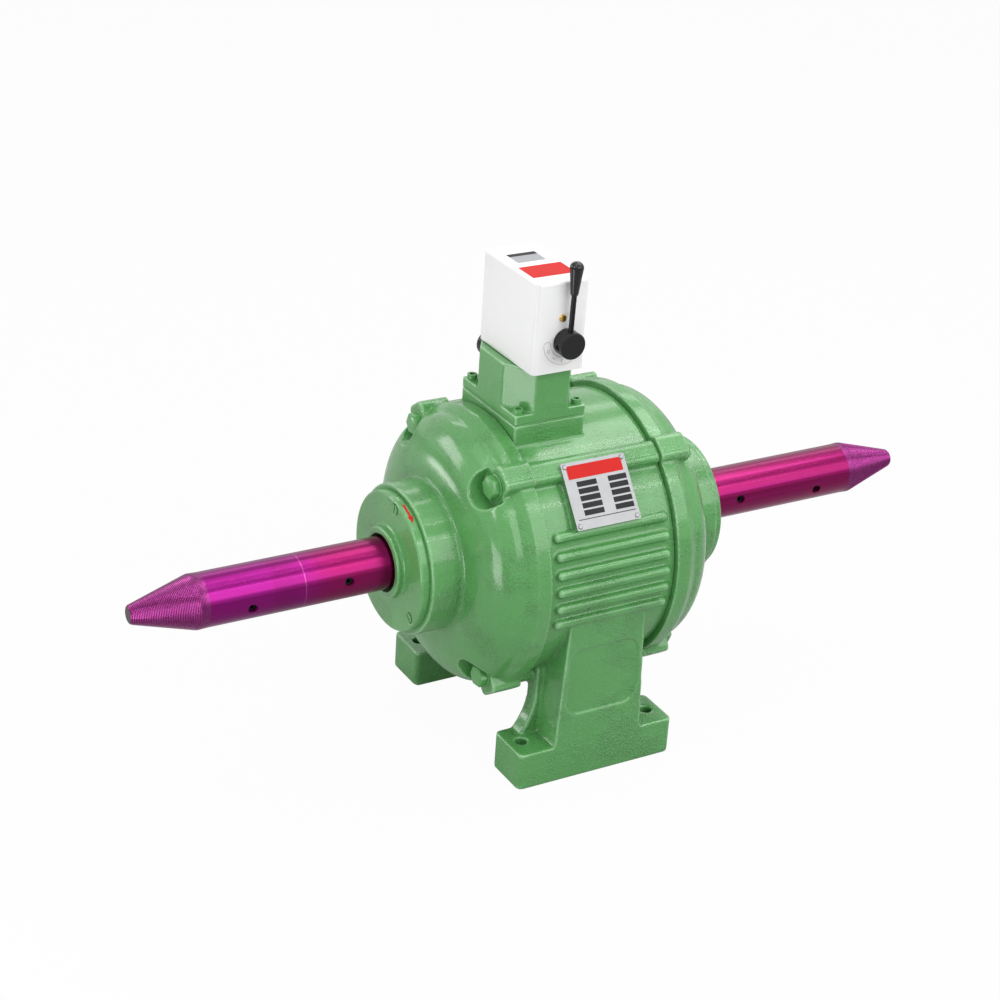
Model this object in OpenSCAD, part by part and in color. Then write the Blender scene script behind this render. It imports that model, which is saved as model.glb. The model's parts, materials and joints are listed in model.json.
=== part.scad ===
// Bench polishing motor with two tapered spindles, cast frame and lever switch.
// X runs along the shaft, the front faces -Y, Z is up, and the feet stand on Z = 0.

/* [Shaft line] */
// Height of the shaft axis above the bench
axis_height = 196; // [180:1:215]
// Diameter of the polishing spindles
spindle_d = 50; // [44:1:54]
// Length of the parallel part of the spindles
spindle_reach = 184; // [176:1:228]
// Length of the tapered screw
taper_length = 59; // [40:1:80]
// Diameter of the small end of the taper
tip_d = 16; // [8:1:24]
// Diameter of the shaft ends inside the spindles
shaft_end_d = 28; // [24:1:32]
// How far the shaft ends stop short of the taper
shaft_setback = 26; // [22:1:30]
// Diameter of the shaft in the bearings
shaft_bearing_d = 35; // [34:1:38]
// Distance from the start of the spindle to the inner grub screw
grub_inner = 42; // [28:1:68]
// Distance from the start of the spindle to the outer grub screw
grub_outer = 136; // [118:1:138]
// Diameter of the grub screws
grub_d = 8; // [6:1:10]

/* [Barrel] */
// Outside radius of the barrel
barrel_r = 128; // [126:0.5:131]
// Wall thickness of the barrel
barrel_wall = 14; // [11:0.5:16]
// Length of the barrel between the end shields
barrel_length = 134; // [128:1:150]
// Number of cooling ribs on each side
rib_count = 6; // [3:1:6]
// Distance between cooling ribs
rib_pitch = 16.4; // [14:0.1:18]
// Height of the top rib above the shaft axis
rib_top = 57.5; // [50:0.5:60]
// Radius of the rounded cooling ribs
rib_r = 4.3; // [3:0.1:6]
// Length of the cooling ribs
rib_length = 120; // [90:1:124]
// Distance of the ribs' centre lines outside the barrel
rib_stand = 2.2; // [1.6:0.1:2.6]

/* [Feet] */
// Length of each foot along the shaft
foot_length = 167; // [155:1:190]
// Width of each foot across the shaft
foot_width = 49; // [46:1:60]
// Thickness of each foot
foot_height = 37; // [28:1:44]
// Overall width across both feet
foot_span = 253; // [250:1:290]
// Distance between the bolt holes along the shaft
foot_hole_pitch = 138; // [120:1:146]
// Diameter of the bolt holes in the feet
foot_hole_d = 12; // [9:0.5:14]
// Width of the leg where it meets the foot
leg_base_width = 94; // [84:1:100]
// Width of the leg at the lowest rib
leg_top_width = 80; // [70:1:90]
// Width of the sunk panel on the leg
panel_width = 76; // [60:1:78]
// Height of the sunk panel on the leg
panel_height = 70; // [50:1:72]
// Distance of the panel's middle below the shaft axis
panel_drop = 93; // [90:1:96]
// Depth of the sunk panel on the leg
panel_depth = 2; // [0.5:0.1:3]

/* [End shields] */
// How far the shield rim stands out from the barrel
rim_step = 6; // [4:0.5:10]
// Width of the shield rim
rim_width = 17; // [12:0.5:20]
// How far the dome's shoulder lies inside the rim
shoulder_step = 6; // [3:0.5:8]
// Distance from the joint face to the start of the dome
dome_start = 24; // [22:1:28]
// Distance from the joint face to the hub at the end of the dome
dome_length = 55; // [52:1:62]
// How far the hub of the dome stands out from the bearing cover
hub_lip = 5; // [3:0.5:9]
// Length of the hub beyond the dome
hub_length = 32; // [28:0.5:36]
// Wall thickness of the dome
dome_wall = 9; // [6:0.5:12]
// Angle of the shield bolts above and below the horizontal
bolt_angle = 53; // [50:0.5:55]
// Width of the bolt lugs
lug_width = 26; // [22:0.5:32]
// How far the bolt lugs stand out from the barrel
lug_rise = 12; // [8:0.5:16]
// Length of the bolt lugs on the shield
lug_length = 30; // [26:0.5:33]
// Thread diameter of the shield bolts
bolt_d = 12; // [8:1:12]
// Distance that the bolt bars on the barrel stop short of the joint face
bar_gap = 0.4; // [0.2:0.1:1]

/* [Bearings] */
// Outside diameter of the ball bearings
bearing_d = 80; // [72:1:84]
// Width of the ball bearings
bearing_width = 21; // [17:0.5:23]
// Depth of the bearing behind the outer face of the end shield
bearing_inset = 32; // [28:0.5:35]
// Number of balls in each bearing
ball_count = 8; // [6:1:9]
// Diameter of the balls
ball_d = 13.5; // [10:0.1:14]
// Radius of the round bearing covers
cover_r = 66; // [64:0.5:72]
// Thickness of the bearing cover rim
cover_rim = 9; // [7:0.5:11]
// Outside radius of the raised ring on the cover
ring_r = 34; // [32:0.5:40]
// Height of the raised ring on the cover
ring_height = 7; // [4:0.5:12]
// Distance of the cover screws inside the edge of the cover
cover_screw_inset = 8; // [7:0.5:12]

/* [Stator and rotor] */
// Length of the laminated cores
core_length = 110; // [90:1:115]
// Radius of the stator bore
stator_bore_r = 62; // [58:0.5:66]
// Air gap between the cores
air_gap = 0.6; // [0.4:0.1:1]
// Number of stator slots
slot_count = 24; // [12:6:36]

/* [Switch tower] */
// Middle of the tower along the shaft
tower_x = -30; // [-30:1:10]
// Width of the tower along the shaft
tower_width = 73; // [70:1:78]
// Depth of the tower across the shaft
tower_depth = 98; // [94:1:106]
// Height of the cast pad above the top of the barrel
pad_rise = 11; // [9:0.5:16]
// Thickness of the tower flange
flange_thickness = 9; // [7:0.5:14]
// Height of the tower above its flange
tower_height = 41; // [36:1:60]
// Wall thickness of the tower
tower_wall = 7; // [5:0.5:9]
// Width of the corner cuts along the shaft
cut_x = 19; // [16:0.5:21]
// Width of the corner cuts across the shaft
cut_y = 28; // [22:0.5:30]

/* [Switch box] */
// Width of the switch box along the shaft
box_width = 53; // [50:1:60]
// Depth of the switch box across the shaft
box_depth = 97; // [92:1:110]
// Height of the switch box
box_height = 86; // [80:1:110]
// Middle of the switch box along the shaft
box_x = -32; // [-33:0.5:-28]
// How far the front of the switch box stands in front of the tower
box_overhang = 10; // [6:0.5:16]
// Wall thickness of the switch box
box_wall = 2; // [1.2:0.1:2.5]
// Radius of the upright edges of the switch box
box_edge_r = 5; // [3:0.5:8]
// Radius of the top edges of the switch box
box_top_r = 3; // [1.5:0.5:5]

/* [Lever] */
// Distance of the lever pivot from the middle of the switch box
pivot_x = 5; // [0:0.5:8]
// Height of the lever pivot above the bottom of the box
pivot_height = 29; // [27:0.5:32]
// Diameter of the lever hub
hub_d = 25; // [20:0.5:28]
// Thickness of the lever hub
hub_thickness = 14; // [11:0.5:18]
// Diameter of the lever rod
rod_d = 4.8; // [4:0.1:6]
// Length from the pivot to the top of the grip
lever_length = 77; // [65:1:95]
// Length of the grip
grip_length = 31; // [24:1:40]
// Largest diameter of the grip
grip_d = 12.6; // [10:0.1:16]
// Lean of the lever from upright
lever_lean = 1; // [0:0.5:10]

/* [Nameplate] */
// Width of the nameplate
plate_width = 67; // [56:1:72]
// Height of the nameplate
plate_height = 62; // [54:1:64]
// Thickness of the nameplate
plate_thickness = 1; // [0.5:0.1:2]
// Elevation of the nameplate's normal above the horizontal
plate_tilt = 38; // [36:0.5:40]
// How far the nameplate's face stands out from the barrel
plate_stand = 7.5; // [7.5:0.1:10]
// Shift of the nameplate up its own slope
plate_rise = 6; // [4:0.1:8]
// Shift of the nameplate along the shaft
plate_x = -5; // [-10:0.5:5]

/* [Fasteners] */
// Thread diameter of the tower screws
tower_screw_d = 6; // [4:0.5:6]
// Thread diameter of the bearing cover screws
cover_screw_d = 6; // [4:0.5:6]
// Thread diameter of the screws in the switch base
base_screw_d = 4; // [3:0.5:4]
// Thread diameter of the screw on the switch box
box_screw_d = 4; // [3:0.5:4]
// Shank diameter of the nameplate rivets
rivet_d = 3; // [2:0.5:4]

/* [Fits] */
// Clearance between pieces that seat in each other
seat = 0.1; // [0.05:0.01:0.15]
// Clearance of pieces that turn in or on each other
running = 0.05; // [0.03:0.01:0.09]

/* [Hidden] */
$fn = 96;

green = [0.39, 0.63, 0.40];
magenta = [0.62, 0.10, 0.45];
steel = [0.72, 0.73, 0.75];
copper = [0.72, 0.42, 0.22];

// Barrel, end shields and covers
half = barrel_length / 2;
bore_r = barrel_r - barrel_wall;
rim_r = barrel_r + rim_step;
shoulder_r = rim_r - shoulder_step;
hub_r = cover_r + hub_lip;
hub_x = half + dome_length;
cover_x = hub_x + hub_length;
face_x = cover_x + cover_rim;
neck_end = face_x + ring_height + 2;
cover_screw_r = cover_r - cover_screw_inset;
cover_screw_angles = [81, -39, 201];
cover_screw_reach = 13;
counterbore = 3;
dome_steps = 14;

// Shield bolts and their lugs, from the front horizontal over the top
bolt_angles = [bolt_angle, 180 - bolt_angle, 180 + bolt_angle, -bolt_angle];
bolt_circle_r = bore_r + barrel_wall / 2;
bolt_reach = 30;
bolt_washer = 1.2;
bolt_head = bolt_d * 0.62;
pocket_r = bolt_d * 1.5;
lug_r = barrel_r + lug_rise;
lug_face = half + lug_length;
lug_root = bore_r + 3;
lug_edge_r = 6;
bar_step = 4;
bar_width = lug_width - 3;

// Bearings and seals
bearing_x = cover_x - bearing_inset;
race_end = bearing_x + bearing_width;
seat_r = bearing_d / 2;
boss_r = seat_r + 12;
shaft_r = shaft_bearing_d / 2;
pitch_r = (seat_r + shaft_r) / 2;
groove_r = ball_d / 2 + running;
race_wall = (seat_r - shaft_r) * 0.26;
race_edge = 0.8;
washer = 1.5;
circlip_t = 1.4;
circlip_groove = 1;
seal_depth = 4;
seal_width = 8;
seal_r = shaft_r + 7.5;

// Shaft and spindles
spindle_r = spindle_d / 2;
spindle_start = face_x - 2.7;
recess_r = spindle_r + 2.5;
shoulder_x = neck_end + spindle_reach;
tip_x = shoulder_x + taper_length;
shaft_end_x = shoulder_x - shaft_setback;
grub_inner_x = neck_end + grub_inner;
grub_outer_x = neck_end + grub_outer;
core_seat_r = shaft_r + 6.5;
core_seat_end = 12;

// Cores and windings
core = core_length / 2;
rotor_r = stator_bore_r - air_gap;
ring_bore_r = core_seat_r + 12;
ring_length = 11;
blade_count = 9;
blade_height = rotor_r - ring_bore_r - 8.4;
slot_r0 = stator_bore_r + 2.5;
slot_r1 = stator_bore_r + 25;

// Feet and legs
foot_y = foot_span / 2;
foot_hole_y = foot_y - foot_width / 2;
foot_edge_r = 5;
panel_edge_r = 15;
web_t = 16;
web_top = axis_height - 70;
flare_h = 42;
flare_w = 15;
flare_r = (flare_h * flare_h + flare_w * flare_w) / (2 * flare_w);

// Nameplate
plate_radius = barrel_r + plate_stand;
plate_edge_r = 1.5;
rivet_inset = 3.5;
rivet_reach = 6;

// Tower
pad_z = axis_height + barrel_r + pad_rise;
gasket = 1;
flange_z = pad_z + gasket;
tower_z = flange_z + flange_thickness;
tower_top = tower_z + tower_height;
roof = 6;
tower_screw_x = tower_width / 2 - 6;
tower_screw_y = tower_depth / 2 - 7;
tower_screw_reach = 11;
gland_z = tower_z + 21;
gland_r = 10;
gland_back = 7;
wire_hole_r = 15;
wire_hole_y = -18;
lead_hole_r = 12;
terminal_w = 40;
terminal_d = 26;

// Switch box and what it covers
box_z = tower_top + 1;
box_front = -tower_depth / 2 - box_overhang;
base_gap = 0.5;
base_plate = 2;
base_w = box_width - 2 * (box_wall + base_gap);
base_front = box_front + box_wall + base_gap;
base_back = box_front + box_depth - box_wall - base_gap;
base_screw_reach = 8;
cheek = 6;
rail_w = 5.5;
rail_h = 12;
frame_w = base_w - 2 * (pivot_x + 3);
frame_front = base_front + 0.2;
frame_back = base_back - 14;

// Lever
pivot = [box_x + pivot_x, box_front, box_z + pivot_height];
screw_x = box_x + 0.5;
screw_z = pivot[2] + 22.5;
stem_r = 4;
drum_r = 11;
hub_gap = 0.5;
hub_mid = -hub_gap - hub_thickness / 2;
hub_floor = 3;
rod_root = 6;
rod_cap = 14;
hub_screw_r = 2.5;

// Turns a profile of [radius, x] points about the shaft axis
module turned(points) {
  translate([0, 0, axis_height]) rotate([0, 90, 0]) rotate_extrude() polygon(points);
}

// A cylinder along X on the shaft axis, from x0 to x1
module axial(r, x0, x1) {
  translate([x0, 0, axis_height]) rotate([0, 90, 0]) cylinder(r = r, h = x1 - x0);
}

// Carries a piece modelled at the top, on the shaft axis, to an angle above the front horizontal
module at_angle(a) {
  translate([0, 0, axis_height]) rotate([90 - a, 0, 0]) children();
}

// Rectangle with round corners, drawn from exact circles
module round_rect(w, h, r) {
  square([w - 2 * r, h], center = true);
  square([w, h - 2 * r], center = true);
  for (x = [-1, 1], y = [-1, 1]) translate([x * (w / 2 - r), y * (h / 2 - r)]) circle(r);
}

// Carries a piece from the right-hand end of the motor to the left-hand end
module left() {
  mirror([1, 0, 0]) children();
}

// A list in the opposite order
function reversed(list) = [for (i = [len(list) - 1:-1:0]) list[i]];

// Section of a lug, pointing up from the shaft axis
module lug_section(width, top, bottom) {
  translate([0, (top + bottom) / 2]) round_rect(width, top - bottom, lug_edge_r);
  translate([-width / 2, bottom]) square([width, lug_edge_r + 4]);
}

// A lug or bar along X from x0 to x1
module lug_bar(width, top, bottom, x0, x1) {
  translate([x0, 0, 0]) rotate([90, 0, 90]) linear_extrude(x1 - x0)
    lug_section(width, top, bottom);
}

// Column of the leg seen from the front
module leg_outline() {
  z0 = foot_height - 1;
  z1 = axis_height + rib_top - (rib_count - 1) * rib_pitch - rib_r;
  polygon([[-leg_base_width / 2, z0], [-leg_top_width / 2, z1], [leg_top_width / 2, z1],
    [leg_base_width / 2, z0]]);
}

// Side of the web at height z, which sweeps out to the foot on an arc
function flare(z, s) = [s * (leg_base_width / 2 + 4 + flare_r
  - sqrt(flare_r * flare_r - pow(max(0, foot_height + flare_h - z), 2))), z];

// Web behind the leg seen from the front
module web_outline() {
  steps = 10;
  heights = [for (i = [0:steps]) foot_height - 1 + (flare_h + 1) * i / steps];
  polygon(concat([for (z = heights) flare(z, -1)], [flare(web_top, -1), flare(web_top, 1)],
    [for (z = reversed(heights)) flare(z, 1)]));
}

// Front foot with its leg, web, bolt holes and sunk panel
module leg() {
  difference() {
    union() {
      translate([0, -foot_hole_y, 0]) linear_extrude(foot_height)
        round_rect(foot_length, foot_width, foot_edge_r);
      translate([0, -foot_y + foot_width, 0]) rotate([90, 0, 0])
        linear_extrude(foot_width) leg_outline();
      translate([0, -foot_y + foot_width, 0]) rotate([90, 0, 0])
        linear_extrude(web_t) web_outline();
    }
    for (s = [-1, 1]) translate([s * foot_hole_pitch / 2, -foot_hole_y, -1])
      cylinder(d = foot_hole_d, h = foot_height + 2);
    translate([0, -foot_y + panel_depth, axis_height - panel_drop]) rotate([90, 0, 0])
      linear_extrude(panel_depth + 1) round_rect(panel_width, panel_height, panel_edge_r);
  }
}

// Rounded rib along X with half-round ends
module rib() {
  run = rib_length / 2 - rib_r;
  rotate([0, 90, 0]) rotate_extrude($fn = 32) polygon(concat([[0, -run - rib_r]],
    [for (a = [-67.5:22.5:0]) [rib_r * cos(a), -run + rib_r * sin(a)]],
    [for (a = [0:22.5:67.5]) [rib_r * cos(a), run + rib_r * sin(a)]], [[0, run + rib_r]]));
}

// Cooling ribs on the front of the barrel
module ribs() {
  for (i = [0:rib_count - 1]) {
    z = rib_top - i * rib_pitch;
    translate([0, -sqrt(pow(barrel_r + rib_stand, 2) - z * z), axis_height + z]) rib();
  }
}

// Carries a piece to the nameplate's place, with local Z out of the barrel
module on_plate() {
  translate([plate_x, 0, axis_height]) rotate([90 - plate_tilt, 0, 0])
    translate([0, plate_rise, 0]) children();
}

// Flat cast seat that the nameplate lies on
module plate_seat() {
  root = barrel_r - 6;
  on_plate() translate([0, 0, root]) linear_extrude(plate_radius - plate_thickness - root)
    round_rect(plate_width - 3, plate_height - 3, plate_edge_r + 0.5);
}

// Places of the four rivets on the nameplate
module at_rivets() {
  on_plate() for (x = [-1, 1], y = [-1, 1])
    translate([x * (plate_width / 2 - rivet_inset), y * (plate_height / 2 - rivet_inset),
      plate_radius]) children();
}

// Places of the four tower screws
module at_tower_screws() {
  for (x = [-1, 1], y = [-1, 1])
    translate([tower_x + x * tower_screw_x, y * tower_screw_y, 0]) children();
}

// Cast frame: barrel, bolt bars, ribs, legs and feet, and the seats of tower and nameplate
module motor_frame() {
  color(green) difference() {
    union() {
      axial(barrel_r, -half, half);
      for (a = bolt_angles) at_angle(a)
        lug_bar(bar_width, lug_r - bar_step, lug_root, bar_gap - half, half - bar_gap);
      ribs();
      mirror([0, 1, 0]) ribs();
      leg();
      mirror([0, 1, 0]) leg();
      plate_seat();
      translate([tower_x, 0, axis_height + bore_r]) linear_extrude(barrel_wall + pad_rise)
        square([tower_width, tower_depth], center = true);
    }
    axial(bore_r, -half - 40, half + 40);
    translate([tower_x, wire_hole_y, axis_height])
      cylinder(r = wire_hole_r, h = barrel_r + pad_rise + 1);
    for (a = bolt_angles, x = [-half - 1, half - bolt_reach]) at_angle(a)
      translate([x, 0, bolt_circle_r]) rotate([0, 90, 0])
        cylinder(r = bolt_d / 2 + seat, h = bolt_reach + 1, $fn = 32);
    at_rivets() translate([0, 0, -rivet_reach - 2])
      cylinder(r = rivet_d / 2 + seat, h = rivet_reach + 2, $fn = 24);
    at_tower_screws() translate([0, 0, pad_z - tower_screw_reach - 1])
      cylinder(r = tower_screw_d / 2 + seat, h = tower_screw_reach + 2, $fn = 24);
  }
}

// Points of the dome, outer or inner, as [radius, x]
function dome(r0, r1, x0, x1) = [for (i = [0:dome_steps])
  [r1 + (r0 - r1) * cos(90 * i / dome_steps), x0 + (x1 - x0) * sin(90 * i / dome_steps)]];

// Outer side of the end shield: rim, dome and hub
rim_x = half + rim_width;
shield_outer = concat([[rim_r, half], [rim_r, rim_x - 3], [rim_r - 1.5, rim_x - 0.8],
  [shoulder_r + 2.5, rim_x + 2.5], [shoulder_r, rim_x + 5]],
  dome(shoulder_r - 1, hub_r + 2, half + dome_start, hub_x),
  [[hub_r, hub_x + 2], [hub_r, cover_x - 0.6], [hub_r - 0.6, cover_x]]);

// Inner side of the end shield: bearing seat, boss, hollow of the dome and spigot
shield_inner = concat([[seat_r, cover_x], [seat_r, bearing_x], [seat_r - 6, bearing_x],
  [seat_r - 6, bearing_x - 6], [boss_r, bearing_x - 6], [boss_r, hub_x - dome_wall - 2]],
  reversed(dome(shoulder_r - dome_wall - 5, boss_r + 6, half + dome_start - 4, hub_x - dome_wall)),
  [[bore_r - 7, half], [bore_r - 7, half - 6], [bore_r - seat, half - 6], [bore_r - seat, half]]);

// End shield drawn at the right-hand end
module end_shield() {
  color(green) difference() {
    union() {
      turned(concat(shield_outer, shield_inner));
      for (a = bolt_angles) at_angle(a) lug_bar(lug_width, lug_r, lug_root, half, lug_face);
      intersection() {
        turned(concat([[60, half]], shield_outer, [[60, cover_x]]));
        for (a = bolt_angles) at_angle(a) translate([lug_face - 7, 0, bolt_circle_r])
          rotate([0, 90, 0]) cylinder(r = pocket_r + 5, h = 60);
      }
    }
    for (a = bolt_angles) at_angle(a) translate([0, 0, bolt_circle_r]) rotate([0, 90, 0]) {
      translate([0, 0, half - 1]) cylinder(r = bolt_d / 2 + 0.5, h = 60, $fn = 32);
      translate([0, 0, lug_face]) cylinder(r = pocket_r, h = 60);
    }
    at_cover_screws() translate([0, 0, cover_x - cover_screw_reach - 1])
      cylinder(r = cover_screw_d / 2 + seat, h = cover_screw_reach + 5, $fn = 24);
  }
}

// Places of the three cover screws, with local Z along the shaft
module at_cover_screws() {
  for (a = cover_screw_angles) at_angle(a)
    translate([0, 0, cover_screw_r]) rotate([0, 90, 0]) children();
}

// Bearing cover drawn at the right-hand end, with its spigot reaching in to spigot_x
module bearing_cover(spigot_x) {
  seal_end = face_x - seal_depth - seal_width;
  color(green) difference() {
    turned([[seal_r - 2, spigot_x], [seat_r - seat, spigot_x], [seat_r - seat, cover_x],
      [cover_r, cover_x], [cover_r, face_x - 1.5], [cover_r - 1.5, face_x],
      [ring_r + 2, face_x], [ring_r, face_x + 1.5], [ring_r, face_x + ring_height - 1.2],
      [ring_r - 1.2, face_x + ring_height], [recess_r, face_x + ring_height],
      [recess_r, face_x - seal_depth], [seal_r, face_x - seal_depth], [seal_r, seal_end],
      [seal_r - 2, seal_end]]);
    at_cover_screws() {
      translate([0, 0, cover_x - 1])
        cylinder(r = cover_screw_d / 2 + seat, h = cover_rim + 2, $fn = 24);
      translate([0, 0, face_x - counterbore])
        cylinder(r = cover_screw_d * 0.83 + 0.3, h = counterbore + 5, $fn = 32);
    }
  }
}

// Cheese-head screws of the bearing cover
module cover_screws() {
  head_h = counterbore + 0.6;
  slot_w = 1.4;
  color(steel) at_cover_screws() difference() {
    union() {
      translate([0, 0, face_x - counterbore])
        cylinder(r = cover_screw_d * 0.83, h = head_h, $fn = 32);
      translate([0, 0, cover_x - cover_screw_reach])
        cylinder(d = cover_screw_d, h = cover_screw_reach + cover_rim - counterbore, $fn = 24);
    }
    translate([-cover_screw_d, -slot_w / 2, face_x - 0.9]) cube([2 * cover_screw_d, slot_w, 3]);
  }
}

// Lip seal in the bearing cover, running on the shaft
module shaft_seal() {
  inside = shaft_r + running;
  front = face_x - seal_depth;
  color([0.1, 0.1, 0.1]) turned([[inside, front - seal_width], [seal_r - seat, front - seal_width],
    [seal_r - seat, front], [shaft_r + 3.5, front], [shaft_r + 1, front - 1.6],
    [inside, front - 2.4]]);
}

// Half of the ball groove, as points on a circle about the ball centre
function groove(r_edge, s) = [for (i = [-6:6])
  let (a = i / 6 * acos(abs(r_edge - pitch_r) / groove_r))
  [pitch_r + s * groove_r * cos(a), bearing_x + bearing_width / 2 + groove_r * sin(a)]];

// Outer ring of the ball bearing, in the end shield
module outer_race() {
  edge = seat_r - race_wall;
  outside = seat_r - seat;
  color(steel) turned(concat([[edge, bearing_x]], groove(edge, 1), [[edge, race_end],
    [outside - race_edge, race_end], [outside, race_end - race_edge],
    [outside, bearing_x + race_edge], [outside - race_edge, bearing_x]]));
}

// Inner ring of the ball bearing, on the shaft
module inner_race() {
  edge = shaft_r + race_wall;
  inside = shaft_r + seat;
  color(steel) turned(concat([[edge, bearing_x]], groove(edge, -1), [[edge, race_end],
    [inside + race_edge, race_end], [inside, race_end - race_edge],
    [inside, bearing_x + race_edge], [inside + race_edge, bearing_x]]));
}

// Places of the balls, with local Z along the shaft
module at_balls() {
  for (i = [0:ball_count - 1]) at_angle(360 / ball_count * i)
    translate([bearing_x + bearing_width / 2, 0, pitch_r]) rotate([0, 90, 0]) children();
}

// Balls of one bearing
module balls() {
  color(steel) at_balls() sphere(d = ball_d, $fn = 48);
}

// Cage that spaces the balls
module cage() {
  half_wall = 2.2;
  side = 2.5;
  color([0.75, 0.6, 0.3]) difference() {
    turned([[pitch_r - half_wall, bearing_x + side], [pitch_r + half_wall, bearing_x + side],
      [pitch_r + half_wall, race_end - side], [pitch_r - half_wall, race_end - side]]);
    at_balls() rotate([0, -90, 0]) translate([0, 0, -6])
      cylinder(r = ball_d / 2 + 0.15, h = 12, $fn = 48);
  }
}

// Open ring in the shaft groove that holds the inner race
module circlip() {
  inside = shaft_r - circlip_groove + seat;
  outside = shaft_r + 3.6;
  x0 = race_end + seat;
  color([0.2, 0.2, 0.22]) difference() {
    turned([[inside, x0], [outside, x0], [outside, x0 + circlip_t], [inside, x0 + circlip_t]]);
    translate([race_end - 1, -3, axis_height]) cube([circlip_t + 3, 6, outside + 5]);
  }
}

// Hexagon head bolts of the end shield, with their washers
module shield_bolts() {
  color(green) for (a = bolt_angles) at_angle(a) translate([0, 0, bolt_circle_r])
    rotate([0, 90, 0]) {
      translate([0, 0, half - bolt_reach + 2])
        cylinder(d = bolt_d, h = bolt_reach - 1 + lug_length, $fn = 32);
      translate([0, 0, lug_face]) cylinder(r = bolt_d, h = bolt_washer, $fn = 48);
      translate([0, 0, lug_face + bolt_washer]) rotate(15)
        cylinder(r = bolt_d * 0.91, h = bolt_head, $fn = 6);
    }
}

// Flat washer that holds the outer race of the right-hand bearing
module preload_washer() {
  inside = seat_r - 5.5;
  outside = seat_r - 0.4;
  color(steel) turned([[inside, race_end], [outside, race_end], [outside, race_end + washer],
    [inside, race_end + washer]]);
}

// Section of the slots, open to the bore when wide enough
module slot_shapes(inset, mouth) {
  for (i = [0:slot_count - 1]) rotate(360 / slot_count * i) {
    w0 = 3.14 * slot_r0 / slot_count - inset;
    w1 = 3.14 * slot_r1 / slot_count - inset;
    polygon([[slot_r0 + inset, -w0 / 2], [slot_r1 - inset, -w1 / 2], [slot_r1 - inset, w1 / 2],
      [slot_r0 + inset, w0 / 2]]);
    if (mouth) translate([stator_bore_r - 1, -1.2]) square([4, 2.4]);
  }
}

// Carries a section drawn in XY to the shaft axis and runs it from x0 to x1
module run_along(x0, x1) {
  translate([x0, 0, axis_height]) rotate([90, 0, 90]) linear_extrude(x1 - x0) children();
}

// Laminated stator core with its slots
module stator_core() {
  color(steel) run_along(-core, core) difference() {
    circle(bore_r - seat);
    circle(stator_bore_r);
    slot_shapes(0, true);
  }
}

// Windings in the slots and round the ends of the core
module stator_windings() {
  color(copper) {
    run_along(-core - 1, core + 1) slot_shapes(0.5, false);
    for (s = [0, 1]) mirror([s, 0, 0]) turned([[slot_r0 + 1, core + 0.5],
      [slot_r1 - 0.5, core + 0.5], [slot_r1 + 3, core + 6], [slot_r1 + 3, core + 20],
      [slot_r1 - 4, core + 25], [slot_r0 + 4, core + 25], [slot_r0, core + 20]]);
  }
}

// Shaft with its core seat, bearing seats, circlip grooves and thinner ends
module shaft() {
  e = shaft_end_d / 2;
  groove_end = race_end + circlip_t + 0.2 + seat;
  right_half = [[core_seat_r, core + core_seat_end], [shaft_r + 4, core + core_seat_end],
    [shaft_r + 4, bearing_x], [shaft_r, bearing_x], [shaft_r, race_end],
    [shaft_r - circlip_groove, race_end], [shaft_r - circlip_groove, groove_end],
    [shaft_r, groove_end], [shaft_r, spindle_start], [e, spindle_start], [e, shaft_end_x - 1],
    [e - 1, shaft_end_x], [0, shaft_end_x]];
  color(steel) turned(concat([for (p = reversed(right_half)) [p[0], -p[1]]], right_half));
}

// Laminated rotor core on the shaft
module rotor_core() {
  color([0.55, 0.56, 0.58]) turned([[core_seat_r + seat, -core], [rotor_r, -core],
    [rotor_r, core], [core_seat_r + seat, core]]);
}

// Cast rings at the ends of the rotor, with their fan blades
module rotor_end_rings() {
  color([0.8, 0.8, 0.82]) for (s = [0, 1]) mirror([s, 0, 0]) {
    turned([[ring_bore_r, core], [rotor_r - 1, core], [rotor_r - 1.5, core + ring_length],
      [ring_bore_r + 2, core + ring_length]]);
    for (i = [0:blade_count - 1]) at_angle(360 / blade_count * i)
      translate([core + ring_length - 1, -1.5, ring_bore_r + 4]) cube([10, 3, blade_height]);
  }
}

// Spindle with its tapered end, drawn at the right-hand end
module spindle() {
  bore = shaft_end_d / 2 + running;
  color(magenta) difference() {
    turned([[bore, spindle_start + seat], [spindle_r - 1, spindle_start + seat],
      [spindle_r - 0.5, spindle_start + 0.6], [spindle_r - 0.5, neck_end], [spindle_r, neck_end],
      [spindle_r, shoulder_x], [tip_d / 2, tip_x - 1], [tip_d / 2 - 1, tip_x], [0, tip_x],
      [0, shaft_end_x + 9], [bore, shaft_end_x + 1]]);
    at_grub_screws() {
      cylinder(d = grub_d + 2 * seat, h = 40, $fn = 32);
      translate([0, 0, spindle_r - 1]) cylinder(r = grub_d / 2 + 1, h = 5, $fn = 32);
    }
  }
}

// Places of the grub screws, with local Z pointing out of the spindle
module at_grub_screws() {
  at_angle(4) translate([grub_inner_x, 0, 0]) children();
  at_angle(-12) translate([grub_outer_x, 0, 0]) children();
}

// Socket screws that lock a spindle to the shaft
module grub_screws() {
  foot = shaft_end_d / 2 + 0.02;
  color([0.15, 0.15, 0.16]) at_grub_screws() difference() {
    translate([0, 0, foot]) cylinder(d = grub_d, h = spindle_r - 3 - foot, $fn = 32);
    translate([0, 0, spindle_r - 7]) cylinder(d = grub_d * 0.57, h = 8, $fn = 6);
  }
}

// Printed plate on its cast seat
module nameplate() {
  color([0.85, 0.86, 0.87]) difference() {
    on_plate() translate([0, 0, plate_radius - plate_thickness])
      linear_extrude(plate_thickness) round_rect(plate_width, plate_height, plate_edge_r);
    at_rivets() translate([0, 0, -3]) cylinder(r = rivet_d / 2 + seat, h = 6, $fn = 24);
  }
}

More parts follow.
